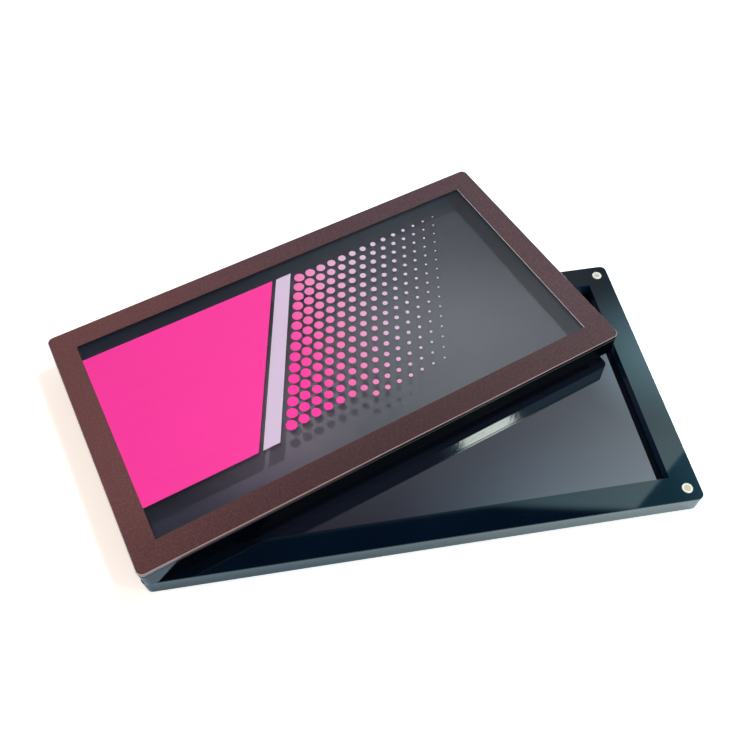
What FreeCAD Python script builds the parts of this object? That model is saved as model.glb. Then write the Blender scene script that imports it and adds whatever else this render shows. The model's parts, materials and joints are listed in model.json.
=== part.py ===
import FreeCAD, Part
import os

import Sketcher

# An empty two-tier make-up palette.
# Two shallow black acrylic trays lie on each other, and a clear acrylic lid closes the upper one.
# Each tray is a base plate with four bars bonded on top as a frame, round a soft magnetic sheet
# that holds loose metal pans. Disc magnets let into the corners hold tray to tray and lid to tray.
# The upper tray and its lid stand half open, swivelled about the pair of magnets at the front left.
# The origin is the middle of the lower tray's underside: +X to the right, +Y to the back, +Z up.

DIMENSIONS = {
    # outline of a tray and of the lid
    "tray_length": 200.0,
    "tray_width": 113.5,
    "corner_radius": 2.5,
    "edge_break": 0.2,
    # sheet stock and frame bars
    "plate_thickness": 2.0,
    "rail_height": 6.0,
    "rail_width": 9.8,
    "lid_thickness": 2.0,
    # soft magnetic sheet in each well
    "sheet_thickness": 0.75,
    "sheet_margin": 0.3,
    "sheet_corner_radius": 1.0,
    # disc magnets and their seats
    "magnet_diameter": 4.0,
    "magnet_chamfer": 0.25,
    "seat_gap": 0.15,
    "top_magnet_height": 3.0,
    "bottom_magnet_height": 2.0,
    "lid_magnet_height": 1.5,
    "deck_gap": 0.1,
    # printed border round the lid's window
    "print_thickness": 0.1,
    "print_margin": 0.3,
    # how far the upper tray is swung open, in degrees
    "swivel_angle": 20.5,
}

# Working values, worked out from the sheet's cells by every object that uses them
TRAY_HEIGHT = "(dims.plate_thickness + dims.rail_height)"
RAIL_OFFSET_X = "(dims.tray_length - dims.rail_width) / 2"
RAIL_OFFSET_Y = "(dims.tray_width - dims.rail_width) / 2"
WELL_LENGTH = "(dims.tray_length - 2 * dims.rail_width)"
WELL_WIDTH = "(dims.tray_width - 2 * dims.rail_width)"
MAGNET_SPAN_X = "(dims.tray_length - dims.rail_width)"
MAGNET_SPAN_Y = "(dims.tray_width - dims.rail_width)"
SEAT_DIAMETER = "dims.magnet_diameter + 2 * dims.seat_gap"

# The swivel axis is the front left magnet, and this keeps it in place as the deck turns
PIVOT_SHIFT_X = (
    f"-{RAIL_OFFSET_X} * (1 - cos(dims.swivel_angle)) - {RAIL_OFFSET_Y} * sin(dims.swivel_angle)"
)
PIVOT_SHIFT_Y = (
    f"-{RAIL_OFFSET_Y} * (1 - cos(dims.swivel_angle)) + {RAIL_OFFSET_X} * sin(dims.swivel_angle)"
)
UPPER_LEVEL = f"{TRAY_HEIGHT} + dims.deck_gap"
LID_LEVEL = f"2 * ({UPPER_LEVEL})"

CORNERS = {
    "front_left": ("-1", "-1"),
    "front_right": ("1", "-1"),
    "back_left": ("-1", "1"),
    "back_right": ("1", "1"),
}
TOLERANCE = 1e-4

doc = FreeCAD.newDocument("palette")
dims = doc.addObject("Spreadsheet::Sheet", "dims")
for row, (alias, value) in enumerate(DIMENSIONS.items(), 1):
    dims.set(f"A{row}", alias)
    dims.set(f"B{row}", str(value))
    dims.setAlias(f"B{row}", alias)
doc.recompute()

sub_parts = []


def new_body(label, level, swivelled):
    """Starts a sub-part on its deck: how high its deck lies, and whether it swings with the swivel."""
    body = doc.addObject("PartDesign::Body", label)
    body.Label = label
    body.setExpression("Placement.Base.z", level)
    if swivelled:
        body.setExpression("Placement.Base.x", PIVOT_SHIFT_X)
        body.setExpression("Placement.Base.y", PIVOT_SHIFT_Y)
        body.setExpression("Placement.Rotation.Angle", "dims.swivel_angle")
    sub_parts.append(body)
    return body


def level_sketch(body, name, x="0", y="0", z="0"):
    """Adds a sketch parallel to the body's XY plane, with its own origin at x, y, z."""
    sketch = body.newObject("Sketcher::SketchObject", name)
    floor = next(plane for plane in body.Origin.OriginFeatures if plane.Role == "XY_Plane")
    sketch.AttachmentSupport = [(floor, "")]
    sketch.MapMode = "FlatFace"
    for axis, expression in zip("xyz", (x, y, z)):
        sketch.setExpression(f"AttachmentOffset.Base.{axis}", expression)
    return sketch


def add_rectangle(sketch, name, length, width):
    """Draws a rectangle about the sketch's origin, with its two sizes bound to the sheet."""
    first = sketch.GeometryCount
    signs = ((-1, -1), (1, -1), (1, 1), (-1, 1))
    points = [FreeCAD.Vector(20 * x, 10 * y, 0) for x, y in signs]
    for start, end in zip(points, points[1:] + points[:1]):
        sketch.addGeometry(Part.LineSegment(start, end))
    for side in range(4):
        sketch.addConstraint(
            Sketcher.Constraint("Coincident", first + side, 2, first + (side + 1) % 4, 1)
        )
    for side, direction in enumerate(("Horizontal", "Vertical", "Horizontal", "Vertical")):
        sketch.addConstraint(Sketcher.Constraint(direction, first + side))
    sketch.addConstraint(Sketcher.Constraint("Symmetric", first, 1, first + 1, 2, -1, 1))
    across = sketch.addConstraint(Sketcher.Constraint("DistanceX", first, 1, first, 2, 40))
    along = sketch.addConstraint(Sketcher.Constraint("DistanceY", first + 1, 1, first + 1, 2, 20))
    for index, word, expression in ((across, "length", length), (along, "width", width)):
        sketch.renameConstraint(index, f"{name}_{word}")
        sketch.setExpression(f"Constraints.{name}_{word}", expression)


def add_circle(sketch, name, diameter, x="0", y="0"):
    """Draws a circle at x, y in the sketch, with its place and diameter bound to the sheet."""
    circle = sketch.addGeometry(Part.Circle(FreeCAD.Vector(1, 1, 0), FreeCAD.Vector(0, 0, 1), 1))
    values = (
        ("diameter", Sketcher.Constraint("Diameter", circle, 2), diameter),
        ("x", Sketcher.Constraint("DistanceX", -1, 1, circle, 3, 1), x),
        ("y", Sketcher.Constraint("DistanceY", -1, 1, circle, 3, 1), y),
    )
    for word, constraint, expression in values:
        index = sketch.addConstraint(constraint)
        sketch.renameConstraint(index, f"{name}_{word}")
        sketch.setExpression(f"Constraints.{name}_{word}", expression)


def pad(body, sketch, height):
    """Raises a sketch into a solid."""
    feature = body.newObject("PartDesign::Pad", f"{sketch.Name}_pad")
    feature.Profile = sketch
    feature.setExpression("Length", height)
    doc.recompute()
    return feature


def pocket(body, sketch, depth, upwards=False):
    """Cuts a sketch into the solid, downwards or upwards, and checks that it removed something."""
    before = body.Shape.Volume
    feature = body.newObject("PartDesign::Pocket", f"{sketch.Name}_pocket")
    feature.Profile = sketch
    feature.Reversed = upwards
    feature.setExpression("Length", depth)
    doc.recompute()
    if body.Shape.Volume > before - TOLERANCE:
        raise RuntimeError(f"{body.Label}: the pocket cut nothing")
    return feature


def dress(body, kind, base, wanted, size_property, size):
    """Rounds or bevels the edges of the base feature that the test picks."""
    names = [f"Edge{number}" for number, edge in enumerate(base.Shape.Edges, 1) if wanted(edge)]
    if not names:
        raise RuntimeError(f"{body.Label}: no edge to dress")
    feature = body.newObject(f"PartDesign::{kind}", f"{base.Name}_{kind.lower()}")
    feature.Base = (base, names)
    feature.setExpression(size_property, size)
    doc.recompute()
    return feature


def round_corners(body, base, radius, wanted=lambda edge: True):
    """Rounds the upright edges that the test picks."""
    return dress(
        body,
        "Fillet",
        base,
        lambda edge: is_upright(edge) and wanted(edge),
        "Radius",
        radius,
    )


def break_edges(body, base, wanted, size="dims.edge_break"):
    """Takes the sharpness off the edges that the test picks."""
    return dress(body, "Chamfer", base, wanted, "Size", size)


def is_upright(edge):
    return edge.BoundBox.ZLength > TOLERANCE


def at_level(edge, level):
    """Says whether an edge lies flat at a height of its own body."""
    box = edge.BoundBox
    return abs(box.ZMin - level) < TOLERANCE and abs(box.ZMax - level) < TOLERANCE


def top_of(feature):
    return feature.Shape.BoundBox.ZMax


def base_plate(tray, level, swivelled, has_magnets):
    """Base plate of a tray, with a through hole at each corner where it carries magnets."""
    body = new_body(f"{tray}_base_plate", level, swivelled)
    outline = level_sketch(body, f"{tray}_plate_outline")
    add_rectangle(outline, "plate", "dims.tray_length", "dims.tray_width")
    plate = pad(body, outline, "dims.plate_thickness")
    rounded = round_corners(body, plate, "dims.corner_radius")
    break_edges(body, rounded, lambda edge: at_level(edge, 0.0))
    if has_magnets:
        seats = level_sketch(body, f"{tray}_plate_seats", z="dims.plate_thickness")
        add_corner_circles(seats)
        pocket(body, seats, "dims.plate_thickness")


def add_corner_circles(sketch):
    """Draws a magnet seat at each corner of the outline."""
    for corner, (x_side, y_side) in CORNERS.items():
        add_circle(
            sketch,
            corner,
            SEAT_DIAMETER,
            f"{x_side} * {MAGNET_SPAN_X} / 2",
            f"{y_side} * {MAGNET_SPAN_Y} / 2",
        )


def long_rail(tray, level, swivelled, name, side):
    """Front or back bar: the whole length, outer corners rounded, a blind magnet seat near each end.

    Its inner edge stays sharp, so that the side bars meet it flush.
    """
    body = new_body(f"{tray}_{name}_rail", level, swivelled)
    middle = f"{side} * {RAIL_OFFSET_Y}"
    outline = level_sketch(body, f"{tray}_{name}_outline", y=middle, z="dims.plate_thickness")
    add_rectangle(outline, "rail", "dims.tray_length", "dims.rail_width")
    bar = pad(body, outline, "dims.rail_height")
    outer = float(side) * bar.Shape.BoundBox.Center.y
    rounded = round_corners(
        body,
        bar,
        "dims.corner_radius",
        lambda edge: float(side) * edge.BoundBox.Center.y > outer,
    )
    inner = outer - bar.Shape.BoundBox.YLength / 2 + TOLERANCE
    break_edges(
        body,
        rounded,
        lambda edge: at_level(edge, top_of(rounded)) and float(side) * edge.BoundBox.Center.y > inner,
    )
    seats = level_sketch(body, f"{tray}_{name}_seats", y=middle, z=TRAY_HEIGHT)
    for end, x_side in (("left", "-1"), ("right", "1")):
        add_circle(seats, end, SEAT_DIAMETER, f"{x_side} * {MAGNET_SPAN_X} / 2")
    pocket(body, seats, "dims.top_magnet_height - dims.deck_gap")


def side_rail(tray, level, swivelled, name, side):
    """Left or right bar, butted between the front and back bars, with its outer edge broken."""
    body = new_body(f"{tray}_{name}_rail", level, swivelled)
    outline = level_sketch(
        body, f"{tray}_{name}_outline", x=f"{side} * {RAIL_OFFSET_X}", z="dims.plate_thickness"
    )
    add_rectangle(outline, "rail", "dims.rail_width", WELL_WIDTH)
    bar = pad(body, outline, "dims.rail_height")
    outer = float(side) * bar.Shape.BoundBox.Center.x + TOLERANCE
    break_edges(
        body,
        bar,
        lambda edge: at_level(edge, top_of(bar)) and float(side) * edge.BoundBox.Center.x > outer,
    )


def magnetic_sheet(tray, level, swivelled):
    """Soft magnetic sheet, cut a little smaller than the well and stuck to the base plate."""
    body = new_body(f"{tray}_magnetic_sheet", level, swivelled)
    outline = level_sketch(body, f"{tray}_sheet_outline", z="dims.plate_thickness")
    add_rectangle(
        outline,
        "sheet",
        f"{WELL_LENGTH} - 2 * dims.sheet_margin",
        f"{WELL_WIDTH} - 2 * dims.sheet_margin",
    )
    sheet = pad(body, outline, "dims.sheet_thickness")
    round_corners(body, sheet, "dims.sheet_corner_radius")


def corner_magnets(name, level, swivelled, bottom, height):
    """Four disc magnets, one in each corner's seat."""
    for corner, (x_side, y_side) in CORNERS.items():
        label = f"{name}_{corner}"
        body = new_body(label, level, swivelled)
        disc = level_sketch(
            body,
            f"{label}_disc",
            x=f"{x_side} * {RAIL_OFFSET_X}",
            y=f"{y_side} * {RAIL_OFFSET_Y}",
            z=bottom,
        )
        add_circle(disc, "magnet", "dims.magnet_diameter")
        slug = pad(body, disc, height)
        break_edges(
            body, slug, lambda edge: not is_upright(edge), "dims.magnet_chamfer"
        )


def tray(name, level, swivelled, has_bottom_magnets):
    """One complete tray: plate, four frame bars, magnetic sheet and magnets."""
    base_plate(name, level, swivelled, has_bottom_magnets)
    for side_name, side in (("front", "-1"), ("back", "1")):
        long_rail(name, level, swivelled, side_name, side)
    for side_name, side in (("left", "-1"), ("right", "1")):
        side_rail(name, level, swivelled, side_name, side)
    magnetic_sheet(name, level, swivelled)
    corner_magnets(
        f"{name}_top_magnet",
        level,
        swivelled,
        f"{TRAY_HEIGHT} + dims.deck_gap - dims.top_magnet_height",
        "dims.top_magnet_height",
    )
    if has_bottom_magnets:
        corner_magnets(
            f"{name}_bottom_magnet", level, swivelled, "0", "dims.bottom_magnet_height"
        )


def lid_panel():
    """Clear lid, with a blind magnet seat under each corner."""
    body = new_body("lid_panel", LID_LEVEL, True)
    outline = level_sketch(body, "lid_outline")
    add_rectangle(outline, "lid", "dims.tray_length", "dims.tray_width")
    panel = pad(body, outline, "dims.lid_thickness")
    rounded = round_corners(body, panel, "dims.corner_radius")
    break_edges(body, rounded, lambda edge: not is_upright(edge))
    seats = level_sketch(body, "lid_seats")
    add_corner_circles(seats)
    pocket(body, seats, "dims.lid_magnet_height", upwards=True)


def lid_border():
    """Opaque printed border on top of the lid, round the clear window over the well."""
    body = new_body("lid_border_print", LID_LEVEL, True)
    outline = level_sketch(body, "border_outline", z="dims.lid_thickness")
    add_rectangle(
        outline,
        "outer",
        "dims.tray_length - 2 * dims.print_margin",
        "dims.tray_width - 2 * dims.print_margin",
    )
    add_rectangle(outline, "window", WELL_LENGTH, WELL_WIDTH)
    film = pad(body, outline, "dims.print_thickness")
    reach = film.Shape.BoundBox.XMax - TOLERANCE
    round_corners(
        body,
        film,
        "dims.corner_radius - dims.print_margin",
        lambda edge: abs(edge.BoundBox.Center.x) > reach,
    )


def check_document():
    """Stops on any feature that failed and on any sub-part that isn't one valid solid."""
    for item in doc.Objects:
        if "Invalid" in item.State or "Error" in item.State:
            raise RuntimeError(f"{item.Label} failed: {item.State}")
    for body in sub_parts:
        shape = body.Shape
        if shape.isNull() or not shape.isValid() or len(shape.Solids) != 1:
            raise RuntimeError(f"{body.Label} isn't one valid solid")


def write_sub_parts():
    os.makedirs("parts", exist_ok=True)
    for body in sub_parts:
        body.Shape.exportStep(f"parts/{body.Label}.step")


tray("lower", "0", False, False)
tray("upper", UPPER_LEVEL, True, True)
lid_panel()
lid_border()
corner_magnets("lid_magnet", LID_LEVEL, True, "0", "dims.lid_magnet_height")
doc.recompute()
check_document()
write_sub_parts()
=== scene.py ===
import json
import math

import bmesh
import bpy
from bpy.props import FloatProperty, FloatVectorProperty, IntProperty, PointerProperty
from bpy.types import Operator, Panel, PropertyGroup
from mathutils import Matrix, Vector


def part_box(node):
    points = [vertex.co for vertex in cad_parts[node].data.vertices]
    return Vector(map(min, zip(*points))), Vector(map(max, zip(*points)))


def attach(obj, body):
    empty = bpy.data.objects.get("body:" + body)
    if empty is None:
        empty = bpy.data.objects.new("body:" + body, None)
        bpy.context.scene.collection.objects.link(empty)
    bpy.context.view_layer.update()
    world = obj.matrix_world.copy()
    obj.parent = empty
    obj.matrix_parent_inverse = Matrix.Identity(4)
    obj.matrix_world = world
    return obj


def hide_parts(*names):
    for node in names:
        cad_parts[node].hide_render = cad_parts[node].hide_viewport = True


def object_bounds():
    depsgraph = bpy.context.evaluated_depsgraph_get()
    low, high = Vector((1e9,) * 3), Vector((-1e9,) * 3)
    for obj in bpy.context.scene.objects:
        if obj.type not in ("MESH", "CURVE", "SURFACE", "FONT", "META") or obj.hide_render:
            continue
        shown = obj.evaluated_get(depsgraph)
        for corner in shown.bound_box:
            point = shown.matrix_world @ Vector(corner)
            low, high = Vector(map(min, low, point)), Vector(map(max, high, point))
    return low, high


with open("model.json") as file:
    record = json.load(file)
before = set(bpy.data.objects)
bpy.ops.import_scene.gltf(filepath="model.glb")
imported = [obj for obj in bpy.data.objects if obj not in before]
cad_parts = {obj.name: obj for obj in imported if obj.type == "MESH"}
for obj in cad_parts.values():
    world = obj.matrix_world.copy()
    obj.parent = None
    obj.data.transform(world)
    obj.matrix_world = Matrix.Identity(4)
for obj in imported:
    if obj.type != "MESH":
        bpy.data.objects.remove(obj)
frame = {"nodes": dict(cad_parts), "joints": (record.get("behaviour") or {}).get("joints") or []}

bl_info = {
    "name": "Two-Tier Magnetic Palette",
    "version": (1, 0, 0),
    "blender": (4, 5, 0),
    "location": "3D View > Sidebar > Palette",
    "description": "Finishes, printed lid and studio stage of a two-tier magnetic palette",
    "category": "Object",
}

MM = 0.001

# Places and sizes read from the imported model; the window has the plan of the wells
CAD_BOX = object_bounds()
SWIVEL = next(joint for joint in frame["joints"] if joint["name"] == "upper_swivel")
PIVOT = Vector(SWIVEL["pos_m"])
REST_TURN = -math.radians(SWIVEL["range_deg"][0])
TRAY_LOW, TRAY_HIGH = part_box("lower_base_plate")
RAIL_LOW, RAIL_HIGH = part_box("lower_front_rail")
RAIL_WIDTH = RAIL_HIGH.y - RAIL_LOW.y
LID_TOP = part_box("lid_panel")[1].z
WINDOW_LOW = Vector((TRAY_LOW.x + RAIL_WIDTH, TRAY_LOW.y + RAIL_WIDTH))
WINDOW_HIGH = Vector((TRAY_HIGH.x - RAIL_WIDTH, TRAY_HIGH.y - RAIL_WIDTH))

# Words that the nodes' names are made of
DECKS = ("lower", "upper")
CORNERS = ("front_left", "front_right", "back_left", "back_right")
ACRYLIC_PARTS = ("base_plate", "front_rail", "back_rail", "left_rail", "right_rail")

# Plastics: how they bend light, the tint of the black one's gleam, and the lean of cut sides
ACRYLIC_IOR = 1.49
VINYL_IOR = 1.8
BLACK_GLEAM = (0.78, 1.0, 0.97)
CUT_LEAN = math.radians(2.2)

# Clear lid: its tint, the light that it lets into the tray, and the slight haze on its top,
# given by its roughness and its share of the light that passes
CLEAR_TINT = (0.985, 0.99, 0.99)
LIGHT_LET_IN = (0.92, 0.925, 0.925)
HAZE_ROUGHNESS = 0.28
HAZE_SHARE = 0.26

# Sides, rounding steps and smoothing of the modelled pieces
DISC_SIDES = 48
DISC_RIM_STEPS = 4
DISC_SMOOTHING = math.radians(35)
BORDER_CORNER_STEPS = 8

# Printed dots: their sides, the share of the radius that slopes up, and the angle of their grid
DOT_SIDES = 20
DOT_SHOULDER = 0.15
DOT_GRID_ANGLE = math.radians(60)

# Share of an edge's length, or of a face's normal, from which it counts as lying along an axis
ALIGNED = 0.9

# Studio floor: its size, the backdrop that its rim sweeps up to, and its gap below the palette
FLOOR_SIDES = 96
FLOOR_RADIUS = 1.8
FLOOR_GAP = 0.2 * MM
BACKDROP_HEIGHT = 1.1
SWEEP_RADIUS = 0.6
SWEEP_STEPS = 12
FLOOR_SMOOTHING = math.radians(40)

# Light panel: its middle, its size, and its even glow
PANEL_PLACE = (0.0, 0.725, 1.0)
PANEL_SIZE = (1.9, 1.25)
PANEL_GLOW = (0.196, 0.188, 0.267)

# Pools of light on the panel: middle, radius and colour
LIGHT_POOLS = (
    ((0.696, 0.251), 0.55, (2.74, 3.31, 3.6)),
    ((0.643, 0.667), 0.2, (1.82, 2.82, 3.42)),
    ((0.222, 0.791), 0.574, (0.82, 0.88, 0.89)),
    ((0.292, 0.269), 0.3, (0.6, 0.99, 1.25)),
    ((-0.154, 0.627), 0.243, (0.95, 0.69, 0.88)),
)

# Lines at which the panel's light ends: a point on the line, and the direction out over it
RIGHT_LINE = ((0.48, 0.341), (0.61, -0.793))
FRONT_LINE = ((0.43, 0.341), (-0.197, -0.98))

# How far back on the panel the shade past its front line reaches
FRONT_SHADE_REACH = 0.386

# Lamps: name, middle, size and colour; the power of each is one of the stage's settings
LAMPS = (
    ("key", (0.515, -0.304, 0.834), (0.095, 0.07), (0.95, 1.0, 0.94)),
    ("fill", (0.4, -0.765, 0.68), (1.2, 0.64), (1.0, 0.98, 0.96)),
    ("halo", (0.658, -0.305, 0.928), (0.36, 0.13), (0.4, 0.85, 1.1)),
    ("warm", (-0.85, -0.25, 0.75), (0.5, 0.5), (1.0, 0.72, 0.5)),
    ("side", (0.51, 0.13, 0.92), (0.2, 0.2), (1.0, 0.99, 0.97)),
)

# Width of the camera's frame in millimetres, and the nearest distance that it sees
FRAME_WIDTH = 36
NEAREST = 0.01


class PaletteFinishes(PropertyGroup):
    """Colours of the palette's materials."""

    acrylic: FloatVectorProperty(
        name="Black acrylic", description="Body colour of the plates and rails",
        subtype="COLOR", min=0, max=1, default=(0.0008, 0.0026, 0.0062),
    )
    # Painted reflection: blue light on the open tray's inner walls
    well: FloatVectorProperty(
        name="Well walls", description="Blue-black of the open tray's inner walls",
        subtype="COLOR", min=0, max=1, default=(0.006, 0.034, 0.085),
    )
    # Painted reflection: blue light on the inner walls under the lid
    covered_wall_reflection: FloatVectorProperty(
        name="Covered well walls", description="Blue-black of the inner walls under the lid",
        subtype="COLOR", min=0, max=1, default=(0.0, 0.018, 0.036),
    )
    sheet: FloatVectorProperty(
        name="Magnetic sheet", description="Colour of the flexible sheet in each well",
        subtype="COLOR", min=0, max=1, default=(0.0055, 0.0075, 0.015),
    )
    nickel: FloatVectorProperty(
        name="Magnet face", description="Colour of the dished middle of the plated disc magnets",
        subtype="COLOR", min=0, max=1, default=(0.5, 0.485, 0.33),
    )
    # Painted highlight: the rims' plating is lighter than the face, standing for light on their
    # rounding
    nickel_rim: FloatVectorProperty(
        name="Magnet rim", description="Colour of the plated rim round the magnets",
        subtype="COLOR", min=0, max=1, default=(0.72, 0.74, 0.67),
    )
    # Brown of the print at the border's left end, where painted warm light makes it redder and
    # brighter
    border: FloatVectorProperty(
        name="Border ink", description="Brown of the printed border",
        subtype="COLOR", min=0, max=1, default=(0.13, 0.049, 0.048),
    )
    # Painted sheen and shade: the border greys and darkens towards the right
    border_right_sheen: FloatVectorProperty(
        name="Cool border ink", description="Greyer brown of the border's right half",
        subtype="COLOR", min=0, max=1, default=(0.054, 0.033, 0.041),
    )
    # Painted shade at the middle of the border's front
    border_front_shade: FloatVectorProperty(
        name="Deep border ink", description="Darker brown at the middle of the border's front",
        subtype="COLOR", min=0, max=1, default=(0.035, 0.0135, 0.015),
    )
    white: FloatVectorProperty(
        name="White base ink", description="White layer printed under the colours",
        subtype="COLOR", min=0, max=1, default=(0.82, 0.83, 0.84),
    )
    # Painted light on the lid's frosted cut sides: corner highlight, glow, shade and chamfer
    # highlight
    lid_corner_highlight: FloatVectorProperty(
        name="Lid corner", description="Pale tint of the lid's cut side at its left corners",
        subtype="COLOR", min=0, max=1, default=(0.25, 0.19, 0.15),
    )
    lid_edge_glow: FloatVectorProperty(
        name="Lid edge", description="Warm tint that the lid's cut sides take from the print",
        subtype="COLOR", min=0, max=1, default=(0.25, 0.135, 0.145),
    )
    lid_edge_shade: FloatVectorProperty(
        name="Lid depth", description="Dark tint of the cut sides where they look into the trays",
        subtype="COLOR", min=0, max=1, default=(0.014, 0.006, 0.008),
    )
    lid_chamfer_highlight: FloatVectorProperty(
        name="Lid chamfer", description="Light line of the lid's broken upper edge",
        subtype="COLOR", min=0, max=1, default=(0.39, 0.24, 0.24),
    )
    pink: FloatVectorProperty(
        name="Pink ink", description="Pink of the field and the large dots",
        subtype="COLOR", min=0, max=1, default=(0.93, 0.013, 0.31),
    )
    mauve: FloatVectorProperty(
        name="Pale ink", description="Pale mauve of the stripe and the small dots",
        subtype="COLOR", min=0, max=1, default=(0.64, 0.5, 0.66),
    )


class PalettePrint(PropertyGroup):
    """Sizes of the printed layers on the lid and of the disc magnets."""

    ink_thickness: FloatProperty(
        name="Ink thickness", description="Height of the cured ink above the lid",
        subtype="DISTANCE", default=0.06 * MM,
    )
    ink_bond: FloatProperty(
        name="Ink bond", description="How far the ink keys into the lid's surface",
        subtype="DISTANCE", default=0.004 * MM,
    )
    edge_margin: FloatProperty(
        name="Edge margin", description="Clear rim between the border and the lid's edge",
        subtype="DISTANCE", default=0.3 * MM,
    )
    base_shift: FloatProperty(
        name="White base shift", description="How far the white layer was printed to the left",
        subtype="DISTANCE", default=0.15 * MM,
    )
    corner_radius: FloatProperty(
        name="Corner radius", description="Outer corner of the border",
        subtype="DISTANCE", default=2.2 * MM,
    )
    field_length: FloatProperty(
        name="Field length", description="Middle length of the solid pink field",
        subtype="DISTANCE", default=62 * MM,
    )
    front_margin: FloatProperty(
        name="Front margin",
        description="Clear strip between the print and the border at the front",
        subtype="DISTANCE", default=13 * MM,
    )
    back_margin: FloatProperty(
        name="Back margin", description="Clear strip between the print and the border at the back",
        subtype="DISTANCE", default=8 * MM,
    )
    slant: FloatProperty(
        name="Slant",
        description="Lean of the field's right edge, of the stripe and of the dot rows",
        subtype="ANGLE", default=math.radians(62),
    )
    stripe_width: FloatProperty(
        name="Stripe width", description="Width of the pale stripe beside the field",
        subtype="DISTANCE", default=6 * MM,
    )
    stripe_gap: FloatProperty(
        name="Stripe gap", description="Clear gap on each side of the stripe",
        subtype="DISTANCE", default=1.6 * MM,
    )
    dot_pitch: FloatProperty(
        name="Dot pitch", description="Spacing of the dots along a row",
        subtype="DISTANCE", default=5.2 * MM,
    )
    dot_rows: IntProperty(
        name="Dot rows", description="Rows over which the dots shrink away", min=2, default=14,
    )
    largest_dot: FloatProperty(
        name="Largest dot", description="Radius of the dots in the first row",
        subtype="DISTANCE", default=2.2 * MM,
    )
    smallest_dot: FloatProperty(
        name="Smallest dot", description="Radius of the dots in the last row",
        subtype="DISTANCE", default=0.35 * MM,
    )
    magnet_rim: FloatProperty(
        name="Magnet rim", description="Rounding of a magnet's rim",
        subtype="DISTANCE", default=0.25 * MM,
    )
    magnet_dish: FloatProperty(
        name="Magnet dish", description="How far a magnet's face sinks inside its rim",
        subtype="DISTANCE", default=0.03 * MM,
    )
    magnet_gap: FloatProperty(
        name="Magnet gap", description="Air left between the faces of two magnets that meet",
        subtype="DISTANCE", default=0.02 * MM,
    )


class PaletteStage(PropertyGroup):
    """Camera and lights of the studio stage."""

    camera_place: FloatVectorProperty(
        name="Camera place", description="Where the lens stands",
        subtype="TRANSLATION", unit="LENGTH", default=(-0.026647, -0.156015, 0.257628),
    )
    camera_azimuth: FloatProperty(
        name="Camera azimuth", description="Side that the camera looks from; 0 is the front",
        subtype="ANGLE", default=math.radians(-6.084),
    )
    camera_elevation: FloatProperty(
        name="Camera elevation", description="Height of the view above the horizon",
        subtype="ANGLE", default=math.radians(55.305),
    )
    camera_roll: FloatProperty(
        name="Camera roll", description="Turn of the frame about the line of sight",
        subtype="ANGLE", default=math.radians(-2.958),
    )
    lens: FloatProperty(
        name="Lens", description="Focal length on a 36 mm wide frame",
        subtype="DISTANCE_CAMERA", unit="CAMERA", default=36.273,
    )
    room_light: FloatProperty(
        name="Room light", description="Brightness of the dim room round the stage",
        min=0, default=0.15,
    )
    floor_lift: FloatProperty(
        name="Floor lift", description="Light that the floor adds of its own where it is seen",
        min=0, default=0.72,
    )
    floor_mirror: FloatProperty(
        name="Floor mirror",
        description="Light that the floor adds of its own where it is mirrored",
        min=0, default=1.0,
    )
    key_power: FloatProperty(
        name="Key power", description="Power of the small lamp at the front right",
        unit="POWER", min=0, default=1.2,
    )
    fill_power: FloatProperty(
        name="Fill power", description="Power of the wide lamp at the front",
        unit="POWER", min=0, default=4.0,
    )
    halo_power: FloatProperty(
        name="Halo power", description="Power of the cool glow round the small lamp",
        unit="POWER", min=0, default=0.22,
    )
    warm_power: FloatProperty(
        name="Warm power", description="Power of the warm lamp on the left",
        unit="POWER", min=0, default=1.8,
    )
    side_power: FloatProperty(
        name="Side power", description="Power of the soft lamp on the right",
        unit="POWER", min=0, default=7.0,
    )
    panel_light: FloatProperty(
        name="Panel light", description="Brightness of the graded panel behind the palette",
        min=0, default=1.0,
    )


class Wire:
    """An output socket in a finish, on which sums are written as Python expressions."""

    def __init__(self, finish, socket):
        self.finish = finish
        self.socket = socket

    def maths(self, operation, first, second):
        return self.finish.node("ShaderNodeMath", {"operation": operation}, {0: first, 1: second})

    def __add__(self, other):
        return self.maths("ADD", self, other)

    __radd__ = __add__

    def __sub__(self, other):
        return self.maths("SUBTRACT", self, other)

    def __rsub__(self, other):
        return self.maths("SUBTRACT", other, self)

    def __mul__(self, other):
        return self.maths("MULTIPLY", self, other)

    __rmul__ = __mul__

    def __abs__(self):
        return self.maths("ABSOLUTE", self, 0.0)

    def also(self, output):
        """Another output of the same node."""
        return Wire(self.finish, self.socket.node.outputs[output])


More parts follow.
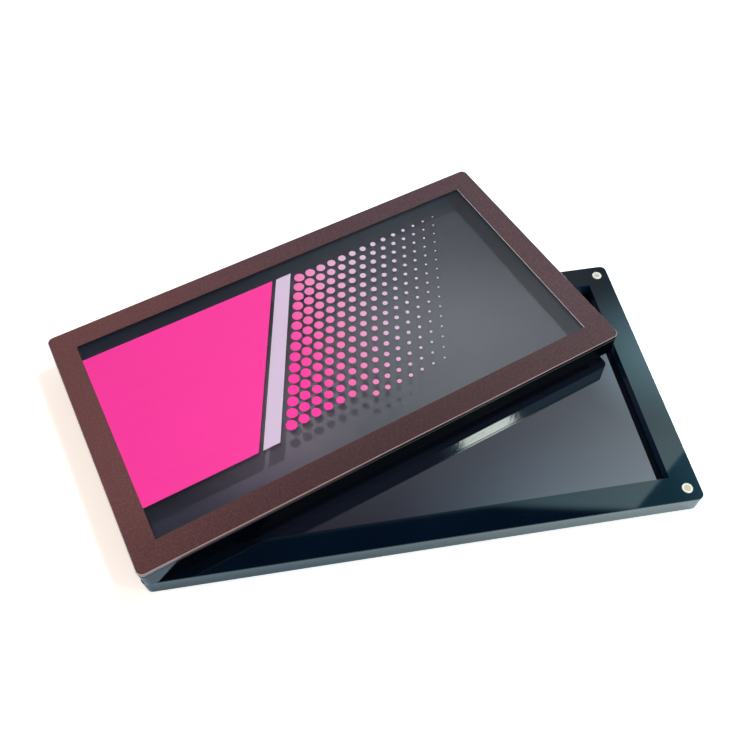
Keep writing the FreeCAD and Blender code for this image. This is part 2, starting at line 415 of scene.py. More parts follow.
class Finish:
    """One procedural material, built node by node."""

    def __init__(self, name):
        self.material = bpy.data.materials.new(name)
        self.material.use_nodes = True
        self.tree = self.material.node_tree
        self.tree.nodes.clear()
        self.place = self.node("ShaderNodeTexCoord").also("Object")

    def node(self, kind, settings=None, sockets=None, output=0):
        """Adds a node, sets it up, then puts values or wires on its sockets. Gives one output."""
        made = self.tree.nodes.new(kind)
        for name, value in (settings or {}).items():
            setattr(made, name, value)
        for name, value in (sockets or {}).items():
            socket = made.inputs[name]
            if isinstance(value, Wire):
                self.tree.links.new(value.socket, socket)
            elif socket.type == "RGBA":
                socket.default_value = (*value[:3], 1.0)
            else:
                socket.default_value = value
        return Wire(self, made.outputs[output]) if made.outputs else None

    def noise(self, size, detail=2.0, stretch=(1, 1, 1), place=None):
        """Noise with features of about this size, drawn out along axes whose stretch is small."""
        scaled = self.node(
            "ShaderNodeMapping", {}, {"Vector": place or self.place, "Scale": stretch}
        )
        return self.node(
            "ShaderNodeTexNoise", {}, {"Vector": scaled, "Scale": 1 / size, "Detail": detail}
        )

    def ramp(self, value, start, end):
        """Rises smoothly from 0 at start to 1 at end."""
        return self.node(
            "ShaderNodeMapRange",
            {"interpolation_type": "SMOOTHSTEP"},
            {"Value": value, "From Min": start, "From Max": end},
        )

    def blend(self, factor, first, second):
        """Mixes two colours: the first where the factor is 0, the second where it is 1."""
        return self.node(
            "ShaderNodeMix", {"data_type": "RGBA"}, {0: factor, 6: first, 7: second}, output=2
        )

    def tint(self, colour, value, low, high):
        """A colour darkened to low where the value is 0 and raised to high where it is 1."""
        return self.blend(value, [low * c for c in colour], [high * c for c in colour])

    def axis(self, vector, name):
        """One component of a vector."""
        return self.node("ShaderNodeSeparateXYZ", {}, {"Vector": vector}).also(name)

    def facing(self):
        """How far a face looks up: 1 on level tops, 0 on upright sides, -1 on undersides."""
        return self.axis(self.node("ShaderNodeNewGeometry").also("True Normal"), "Z")

    def cut_side(self):
        """1 on upright faces and on broken edges, 0 on level faces."""
        return 1 - self.ramp(abs(self.facing()), 0.75, 0.95)

    def upper_side(self):
        """1 on tops and on broken edges that look up, 0 on upright faces and undersides."""
        return self.ramp(self.facing(), 0.3, 0.6)

    def underside(self):
        """1 on faces that look down, 0 on all others."""
        return 1 - self.ramp(self.facing(), -0.6, -0.2)

    def bump(self, height, depth, under=None):
        """A normal roughened by a height from 0 to 1 that stands for this depth."""
        sockets = {"Height": height, "Distance": depth, "Strength": 1.0}
        if under:
            sockets["Normal"] = under
        return self.node("ShaderNodeBump", {}, sockets)

    def lean(self, under=None):
        """The normal of cut sides that overhang a little, as a saw or a laser leaves them."""
        return self.bump(self.axis(self.place, "Z") * (1 / MM), math.tan(CUT_LEAN) * MM, under)

    def shader(self, sockets):
        """A Principled shader with these values and wires."""
        return self.node("ShaderNodeBsdfPrincipled", {}, sockets)

    def layer(self, factor, first, second):
        """The first shader where the factor is 0, the second where it is 1."""
        return self.node("ShaderNodeMixShader", {}, {0: factor, 1: first, 2: second})

    def surface(self, shader):
        """Ends the finish in this shader and gives its material."""
        self.node("ShaderNodeOutputMaterial", {}, {"Surface": shader})
        return self.material


def lid_place(finish):
    """Coordinates that lie square with the lid, which stands turned about the swivel."""
    middle = Matrix.Rotation(REST_TURN, 3, "Z") @ -PIVOT + PIVOT
    return finish.node(
        "ShaderNodeMapping",
        {"vector_type": "TEXTURE"},
        {"Vector": finish.place, "Location": middle, "Rotation": (0, 0, REST_TURN)},
    )


def black_acrylic(name, colours, well, turned):
    """Polished black acrylic: mirror faces with a faint haze, cut sides with fine tool marks.

    The well's inner walls carry a painted blue reflection. A turned tray stands square with the
    lid.
    """
    finish = Finish(name)
    haze = finish.noise(16 * MM, detail=4)
    hairlines = finish.ramp(finish.noise(0.6 * MM, stretch=(0.05, 1, 1)), 0.68, 0.76)
    sawn = finish.cut_side()
    saw_marks = finish.noise(0.7 * MM, detail=3, stretch=(1, 1, 0.06))
    buff_marks = finish.noise(0.5 * MM, detail=2, stretch=(0.06, 0.06, 1))
    body = finish.tint(colours.acrylic, haze * (1 - 0.9 * sawn), 0.4, 1.6)
    place = lid_place(finish) if turned else finish.place
    inside_x, inside_y = (
        1 - finish.ramp(abs(finish.axis(place, axis)), wall, wall + 0.1 * MM)
        for axis, wall in (("X", WINDOW_HIGH.x), ("Y", WINDOW_HIGH.y))
    )
    # Painted reflection: the well's inner walls take a lighter blue in place of the body colour
    colour = finish.blend(sawn * inside_x * inside_y, body, well)
    bevel = sawn * finish.upper_side()
    polish = 0.02 + 0.02 * haze + 0.04 * hairlines
    roughness = polish + sawn * (0.02 + 0.04 * saw_marks) + 0.45 * bevel
    swell = finish.bump(finish.noise(12 * MM), 0.002 * MM)
    lean = finish.lean(swell)
    return finish.surface(finish.shader({
        "Base Color": colour,
        "Roughness": roughness,
        "IOR": ACRYLIC_IOR,
        "Specular Tint": BLACK_GLEAM,
        "Normal": finish.bump(sawn * (saw_marks + buff_marks), 0.014 * MM, lean),
    }))


def magnetic_sheet(colours):
    """Flexible magnetic sheet: glossy black vinyl with faint streaks and a slight ripple."""
    finish = Finish("glossy_magnetic_sheet")
    streaks = finish.noise(0.9 * MM, detail=3, stretch=(0.02, 1, 1))
    cloud = finish.noise(22 * MM, detail=3)
    colour = finish.tint(colours.sheet, streaks, 0.8, 1.25)
    roughness = 0.014 + 0.008 * cloud + 0.004 * streaks
    ripple = finish.bump(finish.noise(6 * MM, detail=1), 0.003 * MM)
    pebble = finish.bump(finish.noise(0.5 * MM, detail=2), 0.0003 * MM, ripple)
    return finish.surface(finish.shader({
        "Base Color": colour,
        "Roughness": roughness,
        "IOR": VINYL_IOR,
        "Normal": pebble,
    }))


def nickel_plate(name, plating):
    """Satin nickel plating on a disc magnet, with fine scuffs and a faint stain."""
    finish = Finish(name)
    scuffs = finish.noise(0.25 * MM, detail=4)
    stain = finish.noise(1.6 * MM, detail=2)
    return finish.surface(finish.shader({
        "Base Color": finish.tint(plating, stain, 0.92, 1.06),
        "Metallic": 0.2,
        "Roughness": 0.6 + 0.2 * scuffs,
        "Normal": finish.bump(scuffs, 0.002 * MM),
    }))


def clear_acrylic(colours):
    """Clear polished acrylic of the lid, with a slight haze on its top.

    Its cut sides are frosted and carry painted light: a painted glow in the print's tint, painted
    shade low down and towards the right, and painted highlights at the left corners and along the
    chamfer.
    """
    finish = Finish("clear_polished_acrylic")
    smear = finish.ramp(finish.noise(18 * MM, detail=5), 0.45, 0.75)
    sawn = finish.cut_side()
    saw_marks = finish.noise(0.5 * MM, detail=3, stretch=(1, 1, 0.05))
    rise = finish.ramp(finish.axis(finish.place, "Z"), LID_TOP - 2.0 * MM, LID_TOP - 0.6 * MM)
    polished, hazy = (finish.shader({
        "Base Color": finish.tint(CLEAR_TINT, smear, 1.0, 0.985),
        "Roughness": roughness,
        "IOR": ACRYLIC_IOR,
        "Transmission Weight": 1.0,
    }) for roughness in (0.0, HAZE_ROUGHNESS))
    clear = finish.layer(HAZE_SHARE * rise, polished, hazy)
    # Painted light on the cut sides: glow fading to shade to the right and low down, highlight
    # near the left corners and on the chamfer
    along = finish.axis(lid_place(finish), "X")
    to_right = finish.ramp(along, -70 * MM, 20 * MM)
    fading = finish.blend(to_right, colours.lid_edge_glow, colours.lid_edge_shade)
    side = finish.blend(rise, colours.lid_edge_shade, fading)
    near_corner = finish.ramp(along, TRAY_LOW.x + 8 * MM, TRAY_LOW.x)
    side_with_corner_highlight = finish.blend(near_corner, side, colours.lid_corner_highlight)
    glow = finish.blend(finish.upper_side(), side_with_corner_highlight, colours.lid_chamfer_highlight)
    frosted = finish.shader({
        "Base Color": finish.blend(0.012 * saw_marks, glow, colours.white),
        "Roughness": 0.1 + 0.1 * saw_marks,
        "IOR": ACRYLIC_IOR,
        "Normal": finish.bump(saw_marks, 0.003 * MM, finish.lean()),
    })
    body = finish.layer(sawn, clear, frosted)
    path = finish.node("ShaderNodeLightPath").also
    soft_light = path("Is Shadow Ray") + path("Is Diffuse Ray")
    passing = finish.node("ShaderNodeBsdfTransparent", {}, {"Color": LIGHT_LET_IN})
    return finish.surface(finish.layer(soft_light, body, passing))


def border_ink(colours):
    """Satin brown ink with the fine dry grain of a print; painted warm light at its left, a
    painted grey sheen at its right, painted shade at its front middle.
    """
    finish = Finish("satin_brown_ink")
    grain = finish.noise(0.5 * MM, detail=4)
    speckle = finish.ramp(finish.noise(0.7 * MM, detail=4), 0.42, 0.66)
    cloud = finish.noise(24 * MM, detail=3)
    place = lid_place(finish)
    along = finish.axis(place, "X")
    # Painted light: warm at the left end, a grey sheen and shade towards the right
    painted_light_drift = finish.ramp(along, TRAY_LOW.x, 0.5 * TRAY_HIGH.x)
    # Painted shade along the middle of the front, with fewer flecks in it
    front = finish.ramp(finish.axis(place, "Y"), 0.4 * TRAY_LOW.y, TRAY_LOW.y)
    front_mid_shade = front * (1 - finish.ramp(abs(along - 10 * MM), 0.0, 200 * MM))
    brown = finish.blend(
        front_mid_shade, finish.blend(painted_light_drift, colours.border, colours.border_right_sheen), colours.border_front_shade
    )
    shaded = finish.blend(0.25 * cloud, brown, [0.6 * c for c in colours.border])
    flecks = speckle * (0.3 - 0.18 * front_mid_shade)
    flecked = finish.blend(flecks, shaded, [1.9 * c for c in colours.border])
    return finish.surface(finish.shader({
        "Base Color": flecked,
        "Roughness": 0.4 + 0.2 * grain,
        "Specular IOR Level": 0.25,
        "Normal": finish.bump(grain, 0.012 * MM),
    }))


def white_ink(colours):
    """White base layer of the border: white on top, the border's brown seen from under the lid."""
    finish = Finish("white_base_ink")
    grain = finish.noise(0.4 * MM, detail=3)
    white = finish.tint(colours.white, grain, 0.92, 1.04)
    return finish.surface(finish.shader({
        "Base Color": finish.blend(finish.underside(), white, [0.5 * c for c in colours.border]),
        "Roughness": 0.5 + 0.15 * grain,
        "Normal": finish.bump(grain, 0.006 * MM),
    }))


def printed_ink(name, colours, colour_of):
    """A printed colour over its white base: colour on top, white on the side towards the lid."""
    finish = Finish(name)
    grain = finish.noise(0.45 * MM, detail=3)
    bands = finish.noise(1.4 * MM, detail=1, stretch=(0.004, 1, 1), place=lid_place(finish))
    shaded = finish.blend(0.03 * grain + 0.02 * bands, colour_of(finish), colours.white)
    return finish.surface(finish.shader({
        "Base Color": finish.blend(finish.underside(), shaded, colours.white),
        "Roughness": 0.34 + 0.16 * grain,
        "Normal": finish.bump(grain + 0.6 * bands, 0.006 * MM),
    }))


def deselect():
    """Leaves nothing selected, so that the next operator works on a new piece alone."""
    bpy.ops.object.select_all(action="DESELECT")


def pick(piece):
    """Makes the piece the only one selected and the active one."""
    deselect()
    piece.select_set(True)
    bpy.context.view_layer.objects.active = piece


def edit(piece, kind, wanted):
    """Opens the piece for editing and selects its faces or edges for which wanted is true."""
    pick(piece)
    bpy.ops.object.mode_set(mode="EDIT")
    bpy.ops.mesh.select_all(action="DESELECT")
    mesh = bmesh.from_edit_mesh(piece.data)
    bpy.ops.mesh.select_mode(type="FACE" if kind == "faces" else "EDGE")
    for element in getattr(mesh, kind):
        element.select_set(wanted(element))
    mesh.select_flush_mode()
    bmesh.update_edit_mesh(piece.data)


def close(piece):
    """Ends editing, with the normals outward."""
    bpy.ops.mesh.select_all(action="SELECT")
    bpy.ops.mesh.normals_make_consistent(inside=False)
    bpy.ops.object.mode_set(mode="OBJECT")
    return piece


def settle(piece):
    """Puts the piece's place into its mesh and leaves the object at the origin."""
    pick(piece)
    bpy.ops.object.transform_apply(location=True, rotation=True, scale=True)
    return piece


def copy_of(piece):
    """A copy of the piece with a mesh of its own."""
    pick(piece)
    bpy.ops.object.duplicate(linked=False)
    return bpy.context.object


def turn_onto_lid(piece):
    """Turns a piece that was modelled square with the lower tray to where the lid stands."""
    pick(piece)
    bpy.ops.transform.rotate(value=-REST_TURN, orient_axis="Z", center_override=PIVOT)
    return settle(piece)


def dress(piece, material):
    """Gives a piece one material on all its faces."""
    piece.data.materials.clear()
    piece.data.materials.append(material)


def dress_node(name, material):
    """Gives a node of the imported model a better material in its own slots."""
    node = frame["nodes"][name]
    if not node.material_slots:
        node.data.materials.append(material)
    for slot in node.material_slots:
        slot.material = material


def slab(name, low, high, base, height):
    """A block between two corners of a plan, standing on a base level."""
    deselect()
    middle = (low + high) / 2
    bpy.ops.mesh.primitive_cube_add(size=1, location=(middle.x, middle.y, base + height / 2))
    piece = bpy.context.object
    piece.name = name
    piece.scale = (high.x - low.x, high.y - low.y, height)
    return settle(piece)


def upright(edge):
    """True for an edge that runs along Z."""
    start, end = (vertex.co for vertex in edge.verts)
    return abs(start.z - end.z) > ALIGNED * (start - end).length


def cut_out(piece, cutter):
    """Takes the cutter's volume out of the piece, and the cutter away."""
    pick(piece)
    cut = piece.modifiers.new("window", "BOOLEAN")
    cut.operation = "DIFFERENCE"
    cut.solver = "EXACT"
    cut.object = cutter
    bpy.ops.object.modifier_apply(modifier=cut.name)
    bpy.data.objects.remove(cutter)
    return piece


def magnet_disc(name, radius, height, sizes, rim, face):
    """A plated disc: rounded rims, made lighter with a painted highlight, and faces that sink a
    little inside them.
    """

    def on_rim(vertex):
        return math.hypot(vertex.co.x, vertex.co.y) > radius - 0.1 * sizes.magnet_rim

    deselect()
    bpy.ops.mesh.primitive_cylinder_add(vertices=DISC_SIDES, radius=radius, depth=height)
    disc = bpy.context.object
    disc.name = name
    dress(disc, rim)
    disc.data.materials.append(face)
    edit(disc, "faces", lambda flat: abs(flat.normal.z) > ALIGNED)
    bpy.ops.mesh.inset(thickness=2 * sizes.magnet_rim, use_individual=True)
    bpy.ops.mesh.inset(thickness=sizes.magnet_rim, use_individual=True)
    disc.active_material_index = 1
    bpy.ops.object.material_slot_assign()
    bpy.ops.transform.resize(value=(1, 1, 1 - 2 * sizes.magnet_dish / height))
    bpy.ops.object.mode_set(mode="OBJECT")
    edit(disc, "edges", lambda edge: all(map(on_rim, edge.verts)) and not upright(edge))
    bpy.ops.mesh.bevel(offset=sizes.magnet_rim, segments=DISC_RIM_STEPS, affect="EDGES")
    close(disc)
    bpy.ops.object.shade_smooth_by_angle(angle=DISC_SMOOTHING)
    return disc


def magnet_nodes():
    """Names of the magnets' nodes, with the body that each one rides on."""
    for corner in CORNERS:
        yield f"lower_top_magnet_{corner}", "lower_tray"
        yield f"upper_top_magnet_{corner}", "upper_tray"
        yield f"upper_bottom_magnet_{corner}", "upper_tray"
        yield f"lid_magnet_{corner}", "lid"


def slanted_strip(name, left, right, sizes):
    """A flat print between two slanted lines, cut off at the print's front and back margins.

    The lines' X at the middle of the window are left and right. Without a left line, the strip
    starts at the border.
    """
    low = WINDOW_LOW + Vector((0, sizes.front_margin))
    high = WINDOW_HIGH - Vector((0, sizes.back_margin))
    piece = slab(name, low, high, LID_TOP - sizes.ink_bond, sizes.ink_bond + sizes.ink_thickness)
    normal = Vector((math.sin(sizes.slant), -math.cos(sizes.slant), 0))
    for line, keeps_left in ((right, True), (left, False)):
        if line is None:
            continue
        edit(piece, "faces", lambda face: True)
        bpy.ops.mesh.bisect(
            plane_co=(line, 0, LID_TOP), plane_no=normal, use_fill=True,
            clear_outer=keeps_left, clear_inner=not keeps_left,
        )
        close(piece)
    return piece


class PALETTE_OT_trays(Operator):
    """Finish the plates and rails of both trays in polished black acrylic"""

    bl_idname = "palette.trays"
    bl_label = "Acrylic Trays"

    def execute(self, context):
        colours = context.scene.palette_finishes
        # Each deck's inner walls get their own painted blue reflection
        wells = (colours.well, colours.covered_wall_reflection)
        for deck, well, turned in zip(DECKS, wells, (False, True)):
            material = black_acrylic(f"{deck}_black_acrylic", colours, well, turned)
            for part in ACRYLIC_PARTS:
                dress_node(f"{deck}_{part}", material)
        return {"FINISHED"}


class PALETTE_OT_sheets(Operator):
    """Finish the flexible magnetic sheet in each well"""

    bl_idname = "palette.sheets"
    bl_label = "Magnetic Sheets"

    def execute(self, context):
        material = magnetic_sheet(context.scene.palette_finishes)
        for deck in DECKS:
            dress_node(f"{deck}_magnetic_sheet", material)
        return {"FINISHED"}


class PALETTE_OT_magnets(Operator):
    """Model the plated disc magnets in the corners of the trays and the lid"""

    bl_idname = "palette.magnets"
    bl_label = "Disc Magnets"

    def execute(self, context):
        sizes = context.scene.palette_print
        colours = context.scene.palette_finishes
        # The rim's lighter plating colour is a painted highlight
        rim = nickel_plate("nickel_rim", colours.nickel_rim)
        face = nickel_plate("nickel_face", colours.nickel)
        patterns = {}
        for node, body in magnet_nodes():
            low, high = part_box(node)
            height = round(high.z - low.z, 6)
            if height not in patterns:
                radius = (high.x - low.x) / 2
                thickness = height - sizes.magnet_gap
                patterns[height] = magnet_disc(
                    "magnet_pattern", radius, thickness, sizes, rim, face
                )
            disc = copy_of(patterns[height])
            disc.name = f"{node}_disc"
            disc.location = (low + high) / 2
            settle(disc)
            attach(disc, body)
            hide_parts(node)
        for pattern in patterns.values():
            bpy.data.objects.remove(pattern)
        return {"FINISHED"}


class PALETTE_OT_lid(Operator):
    """Finish the lid's panel in clear acrylic"""

    bl_idname = "palette.lid"
    bl_label = "Clear Lid"

    def execute(self, context):
        dress_node("lid_panel", clear_acrylic(context.scene.palette_finishes))
        return {"FINISHED"}


class PALETTE_OT_border(Operator):
    """Finish the brown border and print its white base layer"""

    bl_idname = "palette.border"
    bl_label = "Border Print"

    def execute(self, context):
        sizes = context.scene.palette_print
        colours = context.scene.palette_finishes
        dress_node("lid_border_print", border_ink(colours))
        margin = Vector((sizes.edge_margin, sizes.edge_margin))
        shift = Vector((-sizes.base_shift, 0))
        base = slab(
            "lid_border_white_base",
            TRAY_LOW.xy + margin + shift, TRAY_HIGH.xy - margin + shift,
            LID_TOP - sizes.ink_bond, sizes.ink_bond + sizes.ink_thickness / 3,
        )
        edit(base, "edges", upright)
        bpy.ops.mesh.bevel(
            offset=sizes.corner_radius, segments=BORDER_CORNER_STEPS, affect="EDGES"
        )
        close(base)
        window = slab(
            "window_cutter", WINDOW_LOW + shift, WINDOW_HIGH + shift, LID_TOP - MM, 2 * MM
        )
        cut_out(base, window)
        turn_onto_lid(base)
        dress(base, white_ink(colours))
        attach(base, "lid")
        return {"FINISHED"}


class PALETTE_OT_window(Operator):
    """Print the window: a pink field and a pale stripe that break up into shrinking dots"""

    bl_idname = "palette.window"
    bl_label = "Window Print"

    def execute(self, context):
        sizes = context.scene.palette_print
        colours = context.scene.palette_finishes
        field_edge = WINDOW_LOW.x + sizes.field_length
        stripe_left = field_edge + sizes.stripe_gap / math.sin(sizes.slant)
        stripe_right = stripe_left + sizes.stripe_width / math.sin(sizes.slant)
        field = slanted_strip("lid_print_field", None, field_edge, sizes)
        stripe = slanted_strip("lid_print_stripe", stripe_left, stripe_right, sizes)
        dots = self.dots(stripe_right, sizes)

        def clouded_pink(finish):
            return finish.tint(colours.pink, finish.noise(30 * MM), 0.97, 1.03)

        def clouded_mauve(finish):
            return finish.tint(colours.mauve, finish.noise(25 * MM), 0.95, 1.05)

        def pink_to_mauve(finish):
            to_right = finish.ramp(finish.axis(lid_place(finish), "X"), -20 * MM, 40 * MM)
            return finish.blend(to_right, colours.pink, colours.mauve)

        pink = printed_ink("pink_ink", colours, clouded_pink)
        pale = printed_ink("pale_ink", colours, clouded_mauve)
        fading = printed_ink("fading_ink", colours, pink_to_mauve)
        for piece, material in ((field, pink), (stripe, pale), (dots, fading)):
            turn_onto_lid(piece)
            dress(piece, material)
            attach(piece, "lid")
        return {"FINISHED"}

    def dots(self, start, sizes):
        """Rows of dots that lean with the stripe and shrink away to the right, as one piece."""
        pattern = self.dot(sizes)
        along = Vector((math.cos(sizes.slant), math.sin(sizes.slant)))
        across = Vector((math.sin(sizes.slant), -math.cos(sizes.slant)))
        first = sizes.stripe_gap + sizes.largest_dot
        row_step = sizes.dot_pitch * math.sin(DOT_GRID_ANGLE)
        reach = int(2 * WINDOW_HIGH.y / sizes.dot_pitch)
        copies = []
        for row in range(sizes.dot_rows):
            share = row / (sizes.dot_rows - 1)
            radius = sizes.largest_dot + (sizes.smallest_dot - sizes.largest_dot) * share
            offset = Vector((start, 0)) + across * (first + row * row_step)
            for step in range(-reach, reach + 1):
                centre = offset + along * (step + row % 2 / 2) * sizes.dot_pitch
                inside = (
                    WINDOW_LOW.y + sizes.front_margin < centre.y - radius
                    and centre.y + radius < WINDOW_HIGH.y - sizes.back_margin
                    and centre.x + radius < WINDOW_HIGH.x
                )
                if not inside:
                    continue
                copied = copy_of(pattern)
                copied.scale = (radius, radius, 1)
                copied.location = (centre.x, centre.y, LID_TOP)
                copies.append(copied)
        bpy.data.objects.remove(pattern)
        deselect()
        for copied in copies:
            copied.select_set(True)
        bpy.context.view_layer.objects.active = copies[0]
        bpy.ops.object.transform_apply(location=True, rotation=True, scale=True)
        bpy.ops.object.join()
        dots = bpy.context.object
        dots.name = "lid_print_dots"
        return dots

    def dot(self, sizes):
        """One dot of ink of unit radius, slightly domed."""
        deselect()
        bpy.ops.mesh.primitive_cylinder_add(
            vertices=DOT_SIDES, radius=1, depth=sizes.ink_bond + sizes.ink_thickness,
            location=(0, 0, (sizes.ink_thickness - sizes.ink_bond) / 2),
        )
        dot = settle(bpy.context.object)
        edit(dot, "faces", lambda face: face.normal.z > ALIGNED)
        bpy.ops.mesh.inset(thickness=DOT_SHOULDER)
        bpy.ops.transform.translate(value=(0, 0, sizes.ink_thickness / 4))
        return close(dot)


class PALETTE_OT_stage(Operator):
    """Set up the white floor, the light panel, the lamps, the dim room and the camera"""

    bl_idname = "palette.stage"
    bl_label = "Studio Stage"

    def execute(self, context):
        stage = context.scene.palette_stage
        self.floor(stage)
        self.panel(stage)
        for name, place, size, colour in LAMPS:
            self.lamp(f"{name}_lamp", place, size, getattr(stage, f"{name}_power"), colour)
        self.room(context.scene, stage)
        self.camera(context.scene, stage)
        context.scene.view_settings.view_transform = "Standard"
        return {"FINISHED"}

    def floor(self, stage):
        """A round white floor whose rim sweeps up into a low backdrop."""
        deselect()
        bpy.ops.mesh.primitive_circle_add(
            vertices=FLOOR_SIDES, radius=FLOOR_RADIUS, fill_type="NGON",
            location=(0, 0, CAD_BOX[0].z - FLOOR_GAP),
        )
        floor = settle(bpy.context.object)
        floor.name = "studio_floor"
        edit(floor, "edges", lambda edge: True)
        bpy.ops.mesh.extrude_region_move(
            TRANSFORM_OT_translate={"value": (0, 0, BACKDROP_HEIGHT)}
        )
        bpy.ops.object.mode_set(mode="OBJECT")
        edit(floor, "faces", lambda face: face.calc_center_median().z > 0.8 * BACKDROP_HEIGHT)
        bpy.ops.mesh.delete(type="FACE")
        bpy.ops.object.mode_set(mode="OBJECT")
        half_way = BACKDROP_HEIGHT / 2
        edit(floor, "edges", lambda edge: not upright(edge) and edge.verts[0].co.z < half_way)
        bpy.ops.mesh.bevel(offset=SWEEP_RADIUS, segments=SWEEP_STEPS, affect="EDGES")
        bpy.ops.object.mode_set(mode="OBJECT")
        bpy.ops.object.shade_smooth_by_angle(angle=FLOOR_SMOOTHING)
        dress(floor, self.floor_paint(stage))

    def floor_paint(self, stage):
        """Matt white that takes shadows, with light of its own where it is seen or mirrored."""
        # Painted light: the floor's own light is warm left of the palette, which tints the shadow
        # there; in mirrors the floor is painted darker and bluer, and its own light there grows
        # brighter towards the right
        white, mirrored_white = (0.74, 0.8, 0.84), (0.52, 0.58, 0.72)
        warm_left, cool_right, even_far = (1.0, 0.84, 0.72), (0.86, 0.87, 0.9), (1.0, 0.98, 0.965)
        mirrored_left, mirrored_right = (0.16, 0.29, 0.35), (0.72, 0.9, 0.88)
        paint = Finish("white_floor_paint")
        path = paint.node("ShaderNodeLightPath").also
        mirrored = path("Is Glossy Ray")
        seen = path("Is Camera Ray") + path("Is Transmission Ray")
        across = paint.axis(paint.place, "X")
        reach = paint.node(
            "ShaderNodeVectorMath", {"operation": "LENGTH"}, {0: paint.place}, output="Value"
        )
        nearby = paint.blend(paint.ramp(across, -0.12, -0.06), warm_left, cool_right)
        lift = paint.blend(paint.ramp(reach, 0.3, 0.6), nearby, even_far)
        cool = paint.blend(paint.ramp(across, -0.06, 0.12), mirrored_left, mirrored_right)
        matt = paint.node("ShaderNodeBsdfDiffuse", {}, {
            "Color": paint.blend(mirrored, white, mirrored_white),
        })
        own = paint.node("ShaderNodeEmission", {}, {
            "Color": paint.blend(mirrored, lift, cool),
            "Strength": seen * stage.floor_lift + mirrored * stage.floor_mirror,
        })
        return paint.surface(paint.node("ShaderNodeAddShader", {}, {0: matt, 1: own}))

    def panel(self, stage):
        """A large light panel behind and above the palette."""
        deselect()
        bpy.ops.mesh.primitive_plane_add(size=1, location=PANEL_PLACE)
        panel = bpy.context.object
        panel.name = "graded_light_panel"
        panel.scale = (*PANEL_SIZE, 1.0)
        settle(panel)
        dress(panel, self.panel_glow(stage))

    def panel_glow(self, stage):
        """Pools of light on an even glow, faded at the back, with shade past two lines."""
        black, deep_shade = (0.0, 0.0, 0.0), (0.02, 0.06, 0.17)
        left_shade, right_shade = (0.2, 0.56, 0.78), (0.42, 1.0, 1.4)
        glow = Finish("graded_panel_light")
        across, back = glow.axis(glow.place, "X"), glow.axis(glow.place, "Y")

        def past(line):
            (x, y), (out_x, out_y) = line
            return out_x * (across - x) + out_y * (back - y)

        bright = PANEL_GLOW
        for middle, radius, colour in LIGHT_POOLS:
            reach = glow.node(
                "ShaderNodeVectorMath", {"operation": "DISTANCE"},
                {0: glow.place, 1: (*middle, PANEL_PLACE[2])}, output="Value",
            )
            pool = 1 - glow.ramp(reach, 0.0, radius)
            bright = glow.node(
                "ShaderNodeVectorMath", {"operation": "MULTIPLY_ADD"},
                {0: colour, 1: pool, 2: bright},
            )
        fading = 0.35 * glow.ramp(back, 0.76, 1.02) * (1 - glow.ramp(across, 0.44, 0.54))
        bright = glow.blend(fading, bright, black)
        past_right = glow.ramp(past(RIGHT_LINE), -0.003, 0.003)
        in_front = glow.ramp(FRONT_SHADE_REACH - back, -0.004, 0.006)
        past_front = in_front * glow.ramp(past(FRONT_LINE), -0.014, 0.004)
        shade = glow.blend(glow.ramp(across, 0.54, 0.62), left_shade, right_shade)
        dim = glow.blend(past_front, shade, deep_shade)
        lit = (1 - past_right) * (1 - past_front)
        return glow.surface(glow.node("ShaderNodeEmission", {}, {
            "Color": glow.blend(lit, dim, bright), "Strength": stage.panel_light,
        }))

    def lamp(self, name, place, size, power, colour):
        """A soft rectangular lamp that faces the palette, in line with the upper tray's length."""
        deselect()
        bpy.ops.object.light_add(type="AREA")
        lamp = bpy.context.object
        lamp.name = name
        back = Vector(place).normalized()
        along = Vector((math.cos(REST_TURN), math.sin(REST_TURN), 0))
        side = (along - along.project(back)).normalized()
        turn = Matrix((side, back.cross(side), back)).transposed().to_4x4()
        lamp.matrix_world = Matrix.Translation(place) @ turn
        lamp.data.shape = "RECTANGLE"
        lamp.data.size, lamp.data.size_y = size
        lamp.data.energy = power
        lamp.data.color = colour

    def room(self, scene, stage):
        """A dim, even room."""
        scene.world = bpy.data.worlds.new("dim_room")
        scene.world.use_nodes = True
        background = scene.world.node_tree.nodes["Background"]
        background.inputs["Color"].default_value = (1, 1, 1, 1)
        background.inputs["Strength"].default_value = stage.room_light

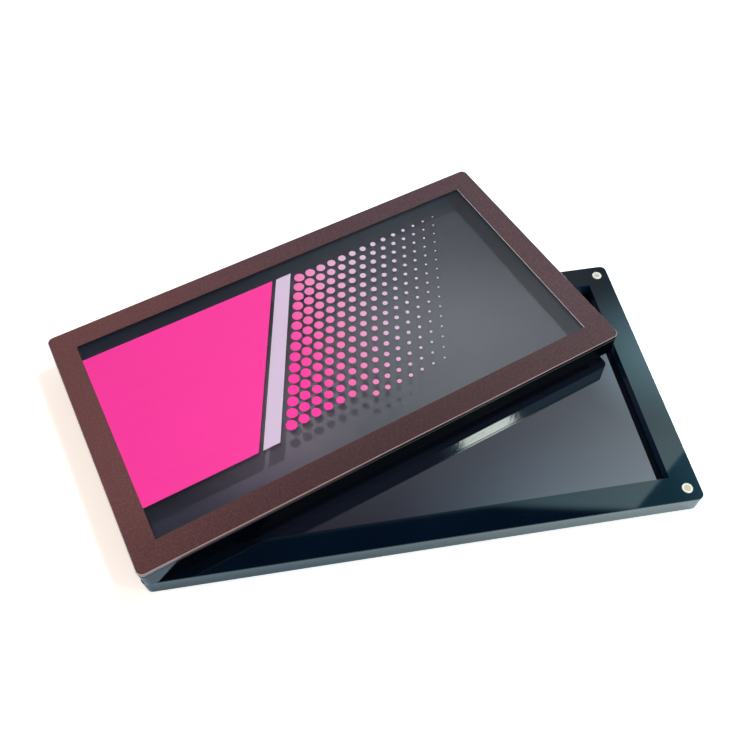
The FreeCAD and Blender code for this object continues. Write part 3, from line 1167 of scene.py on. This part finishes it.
    def camera(self, scene, stage):
        """The camera, placed by its own place, azimuth, elevation and roll."""
        azimuth, elevation, roll = stage.camera_azimuth, stage.camera_elevation, stage.camera_roll
        back = Vector((
            math.sin(azimuth) * math.cos(elevation),
            -math.cos(azimuth) * math.cos(elevation),
            math.sin(elevation),
        ))
        level = Vector((math.cos(azimuth), math.sin(azimuth), 0))
        rise = back.cross(level)
        right = level * math.cos(roll) + rise * math.sin(roll)
        up = rise * math.cos(roll) - level * math.sin(roll)
        deselect()
        bpy.ops.object.camera_add()
        camera = bpy.context.object
        camera.name = "studio_camera"
        turn = Matrix((right, up, back)).transposed().to_4x4()
        camera.matrix_world = Matrix.Translation(stage.camera_place) @ turn
        camera.data.lens = stage.lens
        camera.data.sensor_width = FRAME_WIDTH
        camera.data.clip_start = NEAREST
        scene.camera = camera


class PALETTE_PT_panel(Panel):
    """Lists the palette's pieces in the order in which they are made"""

    bl_idname = "PALETTE_PT_panel"
    bl_label = "Magnetic Palette"
    bl_space_type = "VIEW_3D"
    bl_region_type = "UI"
    bl_category = "Palette"

    def draw(self, context):
        for operator in OPERATORS:
            self.layout.operator(operator.bl_idname)
        for settings in SETTINGS:
            group = getattr(context.scene, settings)
            for name in group.bl_rna.properties.keys():
                if name not in ("name", "rna_type"):
                    self.layout.prop(group, name)


SETTINGS = {
    "palette_finishes": PaletteFinishes,
    "palette_print": PalettePrint,
    "palette_stage": PaletteStage,
}
OPERATORS = (
    PALETTE_OT_trays,
    PALETTE_OT_sheets,
    PALETTE_OT_magnets,
    PALETTE_OT_lid,
    PALETTE_OT_border,
    PALETTE_OT_window,
    PALETTE_OT_stage,
)
CLASSES = (*SETTINGS.values(), *OPERATORS, PALETTE_PT_panel)


def register():
    for kind in CLASSES:
        bpy.utils.register_class(kind)
    for name, group in SETTINGS.items():
        setattr(bpy.types.Scene, name, PointerProperty(type=group))


def unregister():
    for name in SETTINGS:
        delattr(bpy.types.Scene, name)
    for kind in reversed(CLASSES):
        bpy.utils.unregister_class(kind)


def main():
    register()
    bpy.ops.palette.trays()
    bpy.ops.palette.sheets()
    bpy.ops.palette.magnets()
    bpy.ops.palette.lid()
    bpy.ops.palette.border()
    bpy.ops.palette.window()
    bpy.ops.palette.stage()


if __name__ == "__main__":
    main()
